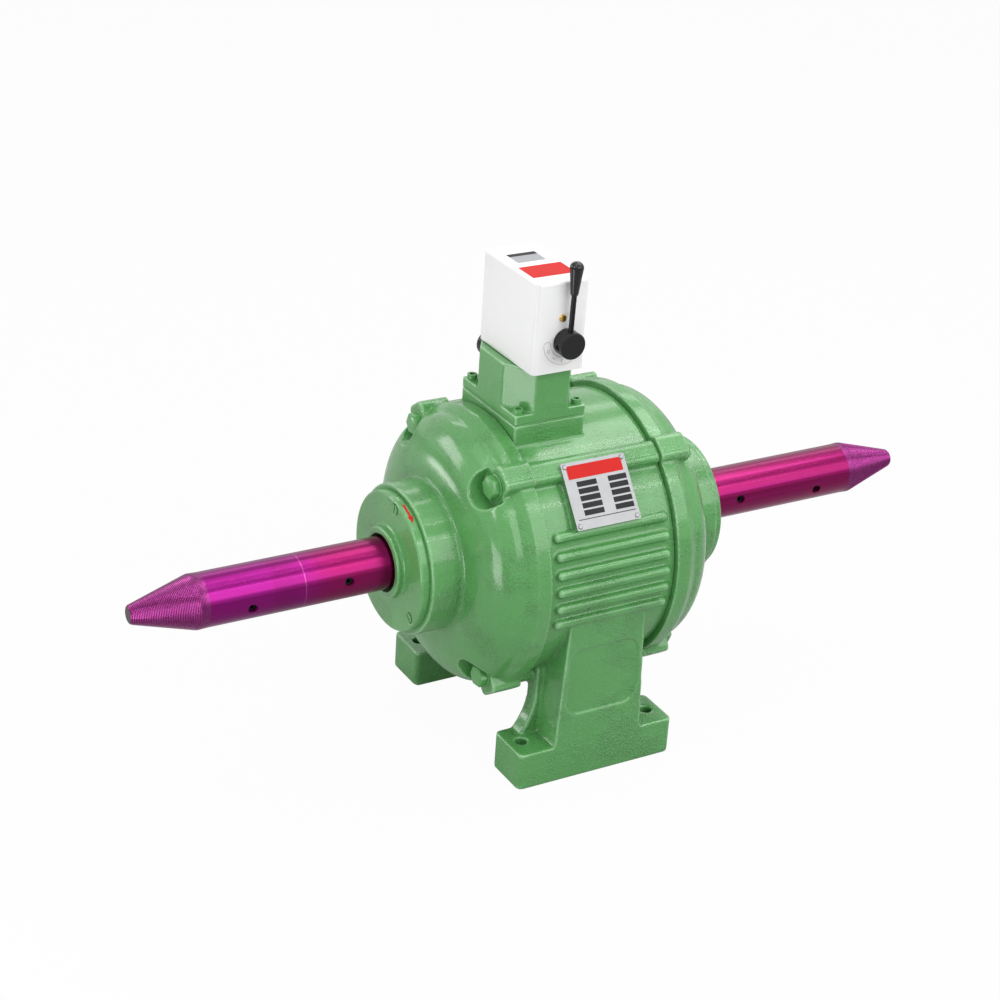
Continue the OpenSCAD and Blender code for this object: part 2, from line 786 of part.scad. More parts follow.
// Rivets of the nameplate
module nameplate_rivets() {
  color(steel) at_rivets() {
    translate([0, 0, -rivet_reach]) cylinder(d = rivet_d, h = rivet_reach + 0.1, $fn = 24);
    cylinder(r1 = rivet_d * 0.83, r2 = rivet_d * 0.57, h = 0.9, $fn = 32);
  }
}

// Plan of the tower: a rectangle with its four corners cut, drawn in by inset
module tower_plan(inset) {
  w = tower_width / 2 - inset;
  d = tower_depth / 2 - inset;
  cx = cut_x - inset * 0.5;
  cy = cut_y - inset * 0.3;
  polygon([[-w, -d + cy], [-w + cx, -d], [w - cx, -d], [w, -d + cy], [w, d - cy], [w - cx, d],
    [-w + cx, d], [-w, d - cy]]);
}

// Gasket between the pad and the tower
module tower_gasket() {
  color([0.12, 0.12, 0.12]) difference() {
    translate([tower_x, 0, pad_z]) linear_extrude(gasket) difference() {
      square([tower_width - 1, tower_depth - 1], center = true);
      translate([0, wire_hole_y]) circle(wire_hole_r);
    }
    at_tower_screws() translate([0, 0, pad_z - 1])
      cylinder(r = tower_screw_d / 2 + seat, h = gasket + 2, $fn = 24);
  }
}

// Hollow tower with a square flange and a roof that carries the switch
module switch_tower() {
  color(green) difference() {
    translate([tower_x, 0, flange_z]) {
      linear_extrude(flange_thickness) difference() {
        square([tower_width, tower_depth], center = true);
        translate([0, wire_hole_y]) circle(wire_hole_r);
      }
      translate([0, 0, flange_thickness]) linear_extrude(tower_height - roof) difference() {
        tower_plan(0);
        tower_plan(tower_wall);
      }
      translate([0, 0, flange_thickness + tower_height - roof]) linear_extrude(roof)
        difference() {
          tower_plan(0);
          translate([0, wire_hole_y]) circle(lead_hole_r);
        }
    }
    at_tower_screws() translate([0, 0, flange_z - 1])
      cylinder(r = tower_screw_d / 2 + seat, h = flange_thickness + 2, $fn = 24);
    translate([tower_x, tower_depth / 2 - tower_wall - 1, gland_z]) rotate([-90, 0, 0])
      cylinder(r = gland_r + seat, h = tower_wall + 2);
    at_base_screws() translate([0, 0, tower_top - base_screw_reach - 1])
      cylinder(r = base_screw_d / 2 + seat, h = base_screw_reach + 2, $fn = 24);
  }
}

// Hexagon socket screws in the corner lands of the tower
module tower_screws() {
  shank = tower_z - pad_z + tower_screw_reach;
  color(green) at_tower_screws() difference() {
    union() {
      translate([0, 0, tower_z - shank]) cylinder(d = tower_screw_d, h = shank, $fn = 24);
      translate([0, 0, tower_z])
        cylinder(r = tower_screw_d * 0.77, h = tower_screw_d * 0.75, $fn = 32);
    }
    translate([0, 0, tower_z + tower_screw_d * 0.3])
      cylinder(d = tower_screw_d * 0.96, h = tower_screw_d, $fn = 6);
  }
}

// Moulded block with barriers and six brass terminals
module terminal_block() {
  barrier = 2;
  pitch = terminal_w / 3;
  color([0.16, 0.15, 0.15]) translate([tower_x - terminal_w / 2, 0, tower_z]) {
    cube([terminal_w, terminal_d, 9]);
    for (i = [0:3]) translate([i * (terminal_w - barrier) / 3, 0, 8])
      cube([barrier, terminal_d, 8]);
  }
  color([0.8, 0.68, 0.35]) for (i = [-1:1], y = [0.25, 0.75])
    translate([tower_x + i * (pitch - 0.5), y * terminal_d, tower_z + 8])
      cylinder(r = 2.6, h = 7, $fn = 24);
}

// Gland for the mains cable at the back of the tower
module cable_gland() {
  color([0.13, 0.13, 0.14]) translate([tower_x, tower_depth / 2, gland_z]) rotate([-90, 0, 0])
    difference() {
      union() {
        translate([0, 0, -tower_wall - gland_back])
          cylinder(r = gland_r, h = tower_wall + gland_back + 1);
        cylinder(r = gland_r + 4, h = 6, $fn = 6);
        translate([0, 0, 5]) cylinder(r = gland_r + 1.5, h = 8);
        translate([0, 0, 12]) rotate_extrude() polygon([[0, 0], [gland_r + 2.5, 0],
          [gland_r + 2.5, 7], [gland_r - 1.5, 12], [0, 12]]);
      }
      translate([0, 0, -tower_wall - gland_back - 1])
        cylinder(r = gland_r / 2, h = tower_wall + gland_back + 30);
    }
}

// Lock nut of the gland, against the inside of the tower wall
module gland_nut() {
  thickness = 5;
  color([0.13, 0.13, 0.14]) translate([tower_x, tower_depth / 2 - tower_wall - thickness, gland_z])
    rotate([-90, 0, 0]) difference() {
      cylinder(r = gland_r + 3.5, h = thickness, $fn = 6);
      translate([0, 0, -1]) cylinder(r = gland_r + seat, h = thickness + 2);
    }
}

// Places of the two screws that hold the switch base to the tower roof
module at_base_screws() {
  for (y = [base_front + 18.5, frame_back - cheek - 6]) translate([tower_x, y, 0]) children();
}

// Sheet under the switch, with its two screws
module switch_base() {
  depth = base_back - base_front;
  color([0.75, 0.76, 0.78]) difference() {
    union() {
      translate([box_x, (base_front + base_back) / 2, tower_top]) linear_extrude(base_plate)
        round_rect(base_w, depth, box_edge_r * 0.6);
      at_base_screws() {
        translate([0, 0, tower_top + base_plate - 0.5])
          cylinder(r = base_screw_d * 0.9, h = 2.8, $fn = 24);
        translate([0, 0, tower_top - base_screw_reach])
          cylinder(d = base_screw_d, h = base_screw_reach + 1, $fn = 24);
      }
    }
    translate([tower_x, wire_hole_y, tower_top - 1]) cylinder(r = lead_hole_r, h = base_plate + 3);
  }
}

// Bakelite frame that carries the contact drum: two cheeks, two rails and a top
module switch_frame() {
  z0 = tower_top + base_plate;
  top = screw_z + 8;
  depth = frame_back - frame_front;
  x0 = pivot[0] - frame_w / 2;
  color([0.2, 0.16, 0.13]) difference() {
    union() {
      for (y = [frame_front, frame_back - cheek]) translate([x0, y, z0])
        cube([frame_w, cheek, top - z0]);
      for (x = [x0, x0 + frame_w - rail_w]) translate([x, frame_front, z0])
        cube([rail_w, depth, rail_h]);
      translate([x0, frame_front, top - cheek]) cube([frame_w, depth, cheek]);
    }
    translate([pivot[0], frame_front - 1, pivot[2]]) rotate([-90, 0, 0])
      cylinder(r = stem_r + running, h = depth + 2);
    translate([screw_x, frame_front - 1, screw_z]) rotate([-90, 0, 0])
      cylinder(r = box_screw_d / 2 + seat, h = cheek + 4, $fn = 24);
  }
}

// Upright outline with round top corners
module arch(w, h, r) {
  translate([-w / 2, 0]) square([w, h - r]);
  translate([-w / 2 + r, 0]) square([w - 2 * r, h]);
  for (s = [-1, 1]) translate([s * (w / 2 - r), h - r]) circle(r);
}

// Box with round upright edges and round top edges, drawn in by inset and standing from z0 to z1
module box_body(inset, z0, z1) {
  w = box_width - 2 * inset;
  d = box_depth - 2 * inset;
  h = z1 - z0;
  translate([box_x, box_front + box_depth / 2, z0]) intersection() {
    linear_extrude(h) round_rect(w, d, box_edge_r - inset * 0.6);
    rotate([90, 0, 0]) translate([0, 0, -d]) linear_extrude(2 * d) arch(w, h, box_top_r);
    rotate([90, 0, 90]) translate([0, 0, -w]) linear_extrude(2 * w) arch(d, h, box_top_r);
  }
}

// Sheet cover of the switch, open at the bottom
module switch_cover() {
  color([0.95, 0.95, 0.95]) difference() {
    box_body(0, box_z, box_z + box_height);
    box_body(box_wall, box_z - 1, box_z + box_height - box_wall);
    translate([pivot[0], box_front - 1, pivot[2]]) rotate([-90, 0, 0])
      cylinder(r = stem_r + 2, h = box_wall + 4, $fn = 48);
    translate([screw_x, box_front - 1, screw_z]) rotate([-90, 0, 0])
      cylinder(r = box_screw_d / 2 + seat, h = box_wall + 4, $fn = 24);
  }
}

// Slotted brass screw that holds the cover to the frame
module cover_screw() {
  slot_w = 0.9;
  color([0.85, 0.7, 0.35]) translate([screw_x, box_front, screw_z]) rotate([90, 0, 0])
    difference() {
      union() {
        cylinder(r1 = box_screw_d * 0.9, r2 = box_screw_d * 0.75, h = 1.9, $fn = 32);
        translate([0, 0, -box_wall - cheek]) cylinder(d = box_screw_d, h = box_wall + cheek + 1,
          $fn = 24);
      }
      translate([-5, -slot_w / 2, 1]) cube([10, slot_w, 2]);
    }
}

// Carries a lever piece drawn upright from the pivot to its place
module on_lever() {
  translate(pivot) rotate([0, lever_lean, 0]) children();
}

// Carries a piece to the set screw's place in the side of the hub
module in_hub_side() {
  on_lever() translate([0, hub_mid, 0]) rotate([0, -100, 0]) children();
}

// Round hub of the lever on the switch shaft
module lever_hub() {
  r = hub_d / 2;
  color([0.1, 0.1, 0.1]) difference() {
    on_lever() rotate([90, 0, 0]) translate([0, 0, hub_gap]) rotate_extrude()
      polygon([[stem_r + seat, 0], [r, 0], [r, hub_thickness - 1], [r - 1, hub_thickness],
        [0, hub_thickness], [0, hub_thickness - hub_floor],
        [stem_r + seat, hub_thickness - hub_floor]]);
    on_lever() translate([0, hub_mid, rod_root]) cylinder(d = rod_d + 2 * seat, h = 20, $fn = 32);
    in_hub_side() cylinder(r = hub_screw_r + seat, h = 20, $fn = 32);
  }
}

// Steel rod from the hub up into the grip
module lever_rod() {
  color([0.12, 0.12, 0.12]) on_lever() translate([0, hub_mid, rod_root + seat])
    cylinder(d = rod_d, h = lever_length - rod_cap - rod_root, $fn = 32);
}

// Tapered grip with a domed top
module lever_grip() {
  r = grip_d / 2;
  g0 = lever_length - grip_length;
  dome_h = r * 0.9;
  dome_z = lever_length - dome_h;
  color([0.08, 0.08, 0.08]) on_lever() translate([0, hub_mid, 0]) rotate_extrude()
    polygon(concat([[rod_d / 2 + seat, g0], [r * 0.5, g0], [r * 0.58, g0 + 1.5], [r, dome_z]],
      [for (a = [15:15:75]) [r * cos(a), dome_z + dome_h * sin(a)]],
      [[0, lever_length], [0, lever_length - rod_cap + 2],
        [rod_d / 2 + seat, lever_length - rod_cap + 2]]));
}

// Socket screw in the side of the hub
module hub_screw() {
  color(copper) in_hub_side() difference() {
    translate([0, 0, stem_r + 0.1]) cylinder(r = hub_screw_r, h = hub_d / 2 - stem_r - 2, $fn = 32);
    translate([0, 0, hub_d / 2 - 4]) cylinder(r = 1.4, h = 4, $fn = 6);
  }
}

// Shaft of the switch, from the hub to the back of the frame
module switch_shaft() {
  front = pivot[1] - hub_gap - hub_thickness + hub_floor + seat;
  color(steel) translate([pivot[0], front, pivot[2]]) rotate([-90, 0, 0])
    cylinder(r = stem_r, h = frame_back - front + seat);
}

// Contact drum with its four discs
module contact_drum() {
  disc = 6;
  y0 = frame_front + cheek + 0.5;
  length = frame_back - cheek - 0.5 - y0;
  color([0.25, 0.2, 0.16]) translate([pivot[0], y0, pivot[2]]) rotate([-90, 0, 0]) difference() {
    union() {
      cylinder(r = drum_r, h = length);
      for (i = [0:3]) translate([0, 0, disc + i * (length - 3 * disc) / 3])
        cylinder(r = drum_r + 2, h = disc);
    }
    translate([0, 0, -1]) cylinder(r = stem_r + seat, h = length + 2);
  }
}

motor_frame();
left() end_shield();  // left_end_shield
end_shield();  // right_end_shield
left() bearing_cover(race_end + seat);  // left_bearing_cover
bearing_cover(race_end + washer + seat);  // right_bearing_cover
left() shaft_seal();  // left_shaft_seal
shaft_seal();  // right_shaft_seal
left() outer_race();  // left_outer_race
outer_race();  // right_outer_race
left() shield_bolts();  // left_shield_bolts
shield_bolts();  // right_shield_bolts
left() cover_screws();  // left_cover_screws
cover_screws();  // right_cover_screws
preload_washer();
stator_core();
stator_windings();
nameplate();
nameplate_rivets();
tower_gasket();
switch_tower();
tower_screws();
terminal_block();
cable_gland();
gland_nut();
switch_base();
switch_frame();
switch_cover();
cover_screw();
shaft();
rotor_core();
rotor_end_rings();
left() inner_race();  // left_inner_race
inner_race();  // right_inner_race
left() circlip();  // left_circlip
circlip();  // right_circlip
left() spindle();  // left_spindle
spindle();  // right_spindle
left() grub_screws();  // left_grub_screws
grub_screws();  // right_grub_screws
left() balls();  // left_balls
left() cage();  // left_cage
balls();  // right_balls
cage();  // right_cage
lever_hub();
lever_rod();
lever_grip();
hub_screw();
switch_shaft();
contact_drum();
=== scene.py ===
"""Looks of a double-ended polishing motor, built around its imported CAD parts, in metres."""
import json
from math import cos, pi, radians, sin

import bmesh
import bpy
from mathutils import Matrix, Vector


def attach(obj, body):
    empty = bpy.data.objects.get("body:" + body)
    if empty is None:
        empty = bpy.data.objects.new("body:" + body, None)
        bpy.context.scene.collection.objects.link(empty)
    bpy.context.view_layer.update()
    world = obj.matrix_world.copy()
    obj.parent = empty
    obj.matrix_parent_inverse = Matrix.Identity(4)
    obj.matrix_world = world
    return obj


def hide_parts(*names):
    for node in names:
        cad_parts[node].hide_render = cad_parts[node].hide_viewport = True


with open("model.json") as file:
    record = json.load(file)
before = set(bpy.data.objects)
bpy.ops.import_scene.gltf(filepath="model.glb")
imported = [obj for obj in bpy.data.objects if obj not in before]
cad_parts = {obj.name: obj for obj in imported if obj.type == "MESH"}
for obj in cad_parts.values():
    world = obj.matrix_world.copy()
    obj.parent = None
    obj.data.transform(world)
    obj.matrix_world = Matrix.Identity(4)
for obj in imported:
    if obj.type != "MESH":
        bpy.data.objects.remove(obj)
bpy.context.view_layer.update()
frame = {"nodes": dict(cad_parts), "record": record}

nodes = frame["nodes"]

# Sizes and places of the CAD parts, repeated from the part's source.
AXIS_HEIGHT = 0.196
SPINDLE_RADIUS = 0.025
SHOULDER = 0.356  # where a spindle's taper starts, out from the middle
TIP = 0.415
TIP_RADIUS = 0.008
PLATE_TILT = radians(52)
PLATE_FACE = 0.1355  # out from the axis to the nameplate's face
PLATE_MIDDLE = (-0.005, 0.006)
PLATE_SIZE = (0.067, 0.062)
PIVOT = Vector((-0.027, -0.059, 0.416))  # the lever's axis on the switch box's front
BOX_TOP_MIDDLE = (-0.032, -0.0105, 0.473)
BOX_DARKENING = (0.386, 0.42)  # heights between which the darkening at the box's foot fades out
COVER_RADIUS = 0.066
COVER_RIM = 0.1582  # middle of a bearing cover's rim, out from the middle
BOLT_CIRCLE = 0.121
BOLT_ANGLES = [radians(a) for a in (37, -37, 143, -143)]
LUG_FACE = 0.097


class Wire:
    """A shader socket that works in sums as a number does."""

    def __init__(self, paint, socket):
        self.paint, self.socket = paint, socket

    def math(self, operation, *values):
        return self.paint.node("ShaderNodeMath", {"operation": operation}, dict(enumerate(values)))

    def __add__(self, other):
        return self.math("ADD", self, other)

    def __mul__(self, other):
        return self.math("MULTIPLY", self, other)

    def __sub__(self, other):
        return self.math("SUBTRACT", self, other)

    def __rsub__(self, other):
        return self.math("SUBTRACT", other, self)

    def __abs__(self):
        return self.math("ABSOLUTE", self)

    __radd__ = __add__
    __rmul__ = __mul__


class Paint:
    """A finish being mixed: the node tree of a material or a world, and ways to add nodes to it."""

    def __init__(self, owner):
        owner.use_nodes = True
        self.owner, self.tree = owner, owner.node_tree
        self.tree.nodes.clear()
        self.place = self.node("ShaderNodeTexCoord", output="Object")

    def node(self, kind, settings=None, inputs=None, output=0):
        made = self.tree.nodes.new(kind)
        for name, value in (settings or {}).items():
            setattr(made, name, value)
        for name, value in (inputs or {}).items():
            if isinstance(value, Wire):
                self.tree.links.new(value.socket, made.inputs[name])
            else:
                made.inputs[name].default_value = value
        return Wire(self, made.outputs[output])

    def axis(self, letter):
        return self.node("ShaderNodeSeparateXYZ", None, {0: self.place}, letter)

    def blotches(self, size, detail=2.0, stretch=(1, 1, 1)):
        """Noise from 0 to 1 in blotches about size across, longer where stretch is above 1."""
        scaled = self.node("ShaderNodeVectorMath", {"operation": "MULTIPLY"},
                           {0: self.place, 1: [1 / (size * s) for s in stretch]})
        return self.node("ShaderNodeTexNoise", None, {"Vector": scaled, "Scale": 1.0, "Detail": detail})

    def rise(self, value, low, high):
        """0 below low, 1 above high and a smooth step between."""
        return self.node("ShaderNodeMapRange", {"interpolation_type": "SMOOTHSTEP"},
                         {"Value": value, "From Min": low, "From Max": high})

    def blend(self, share, first, second):
        """The first colour where share is 0, and the second where it is 1."""
        first, second = ((*c, 1) if isinstance(c, tuple) else c for c in (first, second))
        return self.node("ShaderNodeMix", {"data_type": "RGBA"}, {0: share, 6: first, 7: second}, 2)

    def edges(self, low, high):
        """How far a point stands out, 0 below low and 1 above high: a flat is at 0.5, and a corner lower."""
        return self.rise(self.node("ShaderNodeNewGeometry", output="Pointiness"), low, high)

    def bump(self, height, depth, strength=1.0, over=None):
        inputs = {"Height": height, "Distance": depth, "Strength": strength}
        if over:
            inputs["Normal"] = over
        return self.node("ShaderNodeBump", None, inputs)

    def show(self, shader, output="ShaderNodeOutputMaterial"):
        self.tree.links.new(shader.socket, self.tree.nodes.new(output).inputs["Surface"])
        return self.owner

    def finish(self, **sockets):
        return self.show(self.node("ShaderNodeBsdfPrincipled", None,
                                   {name.replace("_", " "): value for name, value in sockets.items()}))


def new_paint(name):
    return Paint(bpy.data.materials.new(name))


def green_enamel(name, turned=0.0, cast=1.0, edge_highlight=0.6):
    """Thick glossy enamel over cast iron, rough in patches, with tool rings of depth turned under it,
    painted shade in its hollows, painted highlights on its edges and painted glints in its grain.
    """
    p = new_paint(name)
    lumps = p.blotches(0.0052, 2)
    grain = p.blotches(0.0015, 1)
    broad = p.blotches(0.09, 2)
    rough = p.rise(p.blotches(0.045, 2), 0.44, 0.64) * 0.65 + 0.35
    rim = p.edges(0.505, 0.55)
    colour = p.blend(broad, (0.078, 0.290, 0.075), (0.104, 0.345, 0.099))
    # Painted glints: light green specks where the grain stands up in the rough patches.
    colour = p.blend(p.rise(grain, 0.60, 0.72) * rough * 0.4 * cast, colour, (0.24, 0.52, 0.24))
    # Painted highlight: convex edges and rims are lighter green, by the share given in the last argument.
    colour = p.blend(rim * edge_highlight, colour, (0.34, 0.62, 0.34))
    # Painted shade: the colour goes dark green in hollows and creases, such as the gaps between the ribs.
    hollow_shade = 1 - p.edges(0.42, 0.497)
    colour = p.blend(hollow_shade * 0.75, colour, (0.018, 0.105, 0.024))
    normal = p.bump((lumps * 0.5 + grain * 0.75) * rough, 0.0036 * cast, 1.0)
    if turned:
        rings = p.axis("X").math("SINE", p.axis("X") * 3600.0)
        normal = p.bump(rings, turned, 0.5, normal)
    return p.finish(Base_Color=colour, Roughness=0.36 + hollow_shade * 0.2, Specular_IOR_Level=0.15,
                    Normal=normal, Coat_Weight=0.9, Coat_Roughness=0.15)


def tinted_plating(name):
    """Tinted plating on ground sleeves: crimson, but violet on the left one past its scribed ring."""
    p = new_paint(name)
    x = p.axis("X")
    drift = p.blotches(0.05, 2, (1, 3, 3))
    streak = p.blotches(0.0030, 2, (90, 1, 1))
    rings = p.blotches(0.0005, 1, (1, 200, 200))
    violet = p.rise(drift * 0.04 - x, 0.235, 0.300)
    colour = p.blend(violet, (0.21, 0.001, 0.074), (0.21, 0.002, 0.140))
    colour = p.blend(p.rise(streak, 0.52, 0.78) * 0.3, colour, (0.36, 0.008, 0.21))
    colour = p.blend(p.rise(drift, 0.60, 0.75) * 0.35, colour, (0.16, 0.001, 0.070))
    scribed = 1 - p.rise(abs(x + 0.2565), 0.0002, 0.0007)
    colour = p.blend(scribed * 0.3, colour, (0.60, 0.16, 0.42))
    end_face = p.rise(abs(x), TIP - 0.0004, TIP - 0.0001)
    colour = p.blend(end_face, colour, (0.05, 0.008, 0.022))
    normal = p.bump(rings + scribed * -1.0, 0.00002, 0.5)
    return p.finish(Base_Color=colour, Metallic=0.9, Roughness=0.22 + streak * 0.08, Normal=normal,
                    Coat_Weight=0.12, Coat_Roughness=0.12)


def cut_thread(name):
    """Plated thread, lighter on its crests and darker in its grooves."""
    p = new_paint(name)
    wear = p.blotches(0.004, 3)
    crest = p.node("ShaderNodeAttribute", {"attribute_name": "crest"}, output="Fac")
    bright = p.blend(wear, (0.32, 0.016, 0.20), (0.46, 0.08, 0.34))
    # Darker in the grooves and lighter on the crests, by the crest height.
    return p.finish(Base_Color=p.blend(crest, (0.036, 0.002, 0.022), bright), Metallic=0.9,
                    Roughness=0.22 + wear * 0.12, Normal=p.bump(p.blotches(0.0006), 0.00004, 0.5))


def metal(name, dark, light, roughness=0.3, grain=0.0008, stretch=(1, 1, 1), depth=0.00003):
    """Bare or plated metal with uneven colour and a machined or cast grain."""
    p = new_paint(name)
    uneven = p.blotches(0.02, 3)
    marks = p.blotches(grain, 2, stretch)
    return p.finish(Base_Color=p.blend(uneven, dark, light), Metallic=1.0,
                    Roughness=roughness - 0.06 + marks * 0.16, Normal=p.bump(marks, depth, 0.6))


def moulded(name, dark, light, roughness=0.4, grain=0.0012, depth=0.00005, coat=0.0, gloss=0.5):
    """Plastic, rubber or print with uneven colour and a fine skin."""
    p = new_paint(name)
    uneven = p.blotches(0.03, 2)
    skin = p.blotches(grain, 2)
    return p.finish(Base_Color=p.blend(uneven, dark, light), Roughness=roughness - 0.08 + uneven * 0.16,
                    Specular_IOR_Level=gloss, Normal=p.bump(skin, depth, 0.5),
                    Coat_Weight=coat, Coat_Roughness=0.08)


def printed(name, dark, light, roughness=0.5, gloss=0.15):
    return moulded(name, dark, light, roughness, 0.0008, 0.00002, gloss=gloss)


def white_coat(name):
    """Smooth white powder coat, darker in blotches towards its lower edge."""
    p = new_paint(name)
    peel = p.blotches(0.0021, 1)
    foot_darkening = p.blotches(0.02, 3) * (1 - p.rise(p.axis("Z"), *BOX_DARKENING))
    colour = p.blend(p.blotches(0.06), (0.845, 0.848, 0.855), (0.875, 0.875, 0.873))
    colour = p.blend(foot_darkening * 0.35, colour, (0.60, 0.60, 0.57))
    return p.finish(Base_Color=colour, Roughness=0.30 + foot_darkening * 0.2, Normal=p.bump(peel, 0.00007, 0.4),
                    Coat_Weight=0.2, Coat_Roughness=0.15)


# Each finish has its darker and its lighter colour, and then its roughness.
casting = green_enamel("enamel on castings")
turned_casting = green_enamel("enamel on turned castings", turned=0.00006)
tower_enamel = green_enamel("enamel on the tower", cast=0.45, edge_highlight=0.8)
fine_enamel = green_enamel("enamel on small parts", cast=0.5, edge_highlight=0.0)
cover_enamel = green_enamel("enamel on bearing covers", turned=0.00005, cast=0.9, edge_highlight=0.5)
plating = tinted_plating("magenta plating")
thread_finish = cut_thread("cut thread")
white = white_coat("white powder coat")
black_grip = moulded("black grip", (0.005, 0.005, 0.005), (0.010, 0.010, 0.011), 0.3,
                     depth=0.00002, coat=0.5, gloss=0.15)
black_oxide = metal("black oxide", (0.016, 0.016, 0.018), (0.040, 0.040, 0.044), 0.34)
hub_black = moulded("black hub", (0.006, 0.006, 0.006), (0.014, 0.014, 0.015), 0.4, coat=0.25, gloss=0.15)
ground_steel = metal("ground steel", (0.50, 0.51, 0.53), (0.64, 0.65, 0.67), 0.24, 0.0005, (1, 40, 40))
zinc = metal("zinc plate", (0.52, 0.53, 0.55), (0.70, 0.71, 0.72), 0.33)
lamination = metal("stacked sheet", (0.20, 0.21, 0.23), (0.36, 0.37, 0.40), 0.45,
                   0.0005, (1, 200, 200), 0.0001)
winding = moulded("varnished winding", (0.28, 0.09, 0.03), (0.46, 0.18, 0.06), 0.35, 0.0009, 0.0003, 0.4)
aluminium = metal("cast aluminium", (0.60, 0.61, 0.62), (0.76, 0.77, 0.78), 0.42, 0.002, depth=0.0001)
plate_metal = metal("plate metal", (0.24, 0.245, 0.25), (0.31, 0.315, 0.32), 0.46, 0.0004, (30, 1, 30))
painted_rubber = moulded("gasket edge under enamel", (0.11, 0.34, 0.11), (0.16, 0.42, 0.16), 0.45)
rubber = moulded("seal rubber", (0.018, 0.018, 0.018), (0.035, 0.035, 0.034), 0.6)
bakelite = moulded("bakelite", (0.030, 0.018, 0.012), (0.055, 0.034, 0.022), 0.4)
brass = metal("brass", (0.56, 0.36, 0.10), (0.76, 0.54, 0.20), 0.26)
copper = metal("copper plate", (0.62, 0.26, 0.13), (0.80, 0.42, 0.26), 0.26)
red_print = printed("red print", (0.52, 0.012, 0.010), (0.62, 0.020, 0.016))
black_print = printed("black print", (0.010, 0.010, 0.011), (0.030, 0.030, 0.032))
grey_print = printed("grey print", (0.28, 0.29, 0.31), (0.36, 0.37, 0.39), 0.4, 0.5)

FINISH = {
    "motor_frame": casting, "left_end_shield": turned_casting, "right_end_shield": turned_casting,
    "left_bearing_cover": cover_enamel, "right_bearing_cover": cover_enamel, "switch_tower": tower_enamel,
    "left_shield_bolts": fine_enamel, "right_shield_bolts": fine_enamel, "tower_screws": fine_enamel,
    "left_cover_screws": fine_enamel, "right_cover_screws": fine_enamel,
    "left_spindle": plating, "right_spindle": plating, "switch_cover": white,
    "left_grub_screws": black_oxide, "right_grub_screws": black_oxide,
    "left_circlip": black_oxide, "right_circlip": black_oxide, "lever_rod": black_oxide,
    "lever_hub": hub_black, "lever_grip": black_grip, "cable_gland": hub_black, "gland_nut": hub_black,
    "switch_base": zinc, "stator_core": lamination, "rotor_core": lamination, "stator_windings": winding,
    "rotor_end_rings": aluminium, "nameplate": plate_metal, "nameplate_rivets": plate_metal,
    "left_shaft_seal": rubber, "right_shaft_seal": rubber, "tower_gasket": painted_rubber,
    "terminal_block": bakelite, "switch_frame": bakelite, "contact_drum": bakelite,
    "cover_screw": brass, "left_cage": brass, "right_cage": brass, "hub_screw": copper,
}
for name, node in nodes.items():
    node.data.materials.clear()
    node.data.materials.append(FINISH.get(name, ground_steel))

BODY = {node: body for body, members in frame["record"]["behaviour"]["bodies"].items() for node in members}


def piece(name, mesh, finish, body, stands_for=()):
    """Puts a finished mesh into the scene as a piece that rides on a body."""
    mesh.materials.clear()
    mesh.materials.append(finish)
    made = bpy.data.objects.new(name, mesh)
    bpy.context.scene.collection.objects.link(made)
    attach(made, body)
    if stands_for:
        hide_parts(*stands_for)
    return made


def mesh_of(name, bm, sharp=35):
    """The bmesh as a mesh, smooth but for edges sharper than the angle in degrees."""
    bmesh.ops.recalc_face_normals(bm, faces=bm.faces)
    mesh = bpy.data.meshes.new(name)
    bm.to_mesh(mesh)
    bm.free()
    mesh.shade_smooth()
    mesh.set_sharp_from_angle(angle=radians(sharp))
    return mesh


def joined(node):
    """The node's mesh as a bmesh whose seams are closed."""
    bm = bmesh.new()
    bm.from_mesh(nodes[node].data)
    bmesh.ops.remove_doubles(bm, verts=bm.verts, dist=2e-6)
    return bm


def worked(name, mesh, *steps):
    """The mesh after modifiers, each given as (type, settings)."""
    bench = bpy.data.objects.new(name, mesh)
    bpy.context.scene.collection.objects.link(bench)
    for kind, settings in steps:
        step = bench.modifiers.new(kind.lower(), kind)
        for key, value in settings.items():
            setattr(step, key, value)
    ready = bpy.data.meshes.new_from_object(bench.evaluated_get(bpy.context.evaluated_depsgraph_get()))
    bpy.data.objects.remove(bench)
    return ready


def cast_copy(name, node, grain, keep, smoothing):
    """A casting's copy with fillets in its corners and soft edges, from a remesh at grain."""
    mesh = worked(name, mesh_of(name, joined(node)),
                  ("REMESH", {"mode": "VOXEL", "voxel_size": grain, "use_smooth_shade": True}),
                  ("SMOOTH", {"factor": 0.5, "iterations": smoothing}),
                  ("DECIMATE", {"ratio": keep}))
    mesh.shade_smooth()
    return piece(name, mesh, FINISH[node], BODY[node], [node])


def skin(bm, rings, closed=False):
    """Skins rings, each a list of points: round in a loop if closed, and else with a cap on each end."""
    rows = [[bm.verts.new(point) for point in ring] for ring in rings]
    for a, b in zip(rows, rows[1:] + (rows[:1] if closed else [])):
        for i in range(len(a)):
            j = (i + 1) % len(a)
            bm.faces.new((a[i], a[j], b[j], b[i]))
    if not closed:
        bm.faces.new(rows[-1])
        bm.faces.new(rows[0][::-1])


def circle(r, count):
    return [(r * cos(2 * pi * i / count), r * sin(2 * pi * i / count)) for i in range(count)]


def rounded(x0, y0, x1, y1, r, steps=6):
    """Outline of a rectangle with rounded corners."""
    corners = ((x1 - r, y1 - r, 0), (x0 + r, y1 - r, 90), (x0 + r, y0 + r, 180), (x1 - r, y0 + r, 270))
    return [(x + r * cos(radians(a + 90 * i / steps)), y + r * sin(radians(a + 90 * i / steps)))
            for x, y, a in corners for i in range(steps + 1)]


def arc_band(r0, r1, a0, a1, steps=24):
    """Outline of a flat ring's part between two radii and two angles."""
    turn = [radians(a0 + (a1 - a0) * i / steps) for i in range(steps + 1)]
    return [(r1 * cos(a), r1 * sin(a)) for a in turn] + [(r0 * cos(a), r0 * sin(a)) for a in reversed(turn)]


INK_SUNK, INK_PROUD = 0.00001, 0.00006


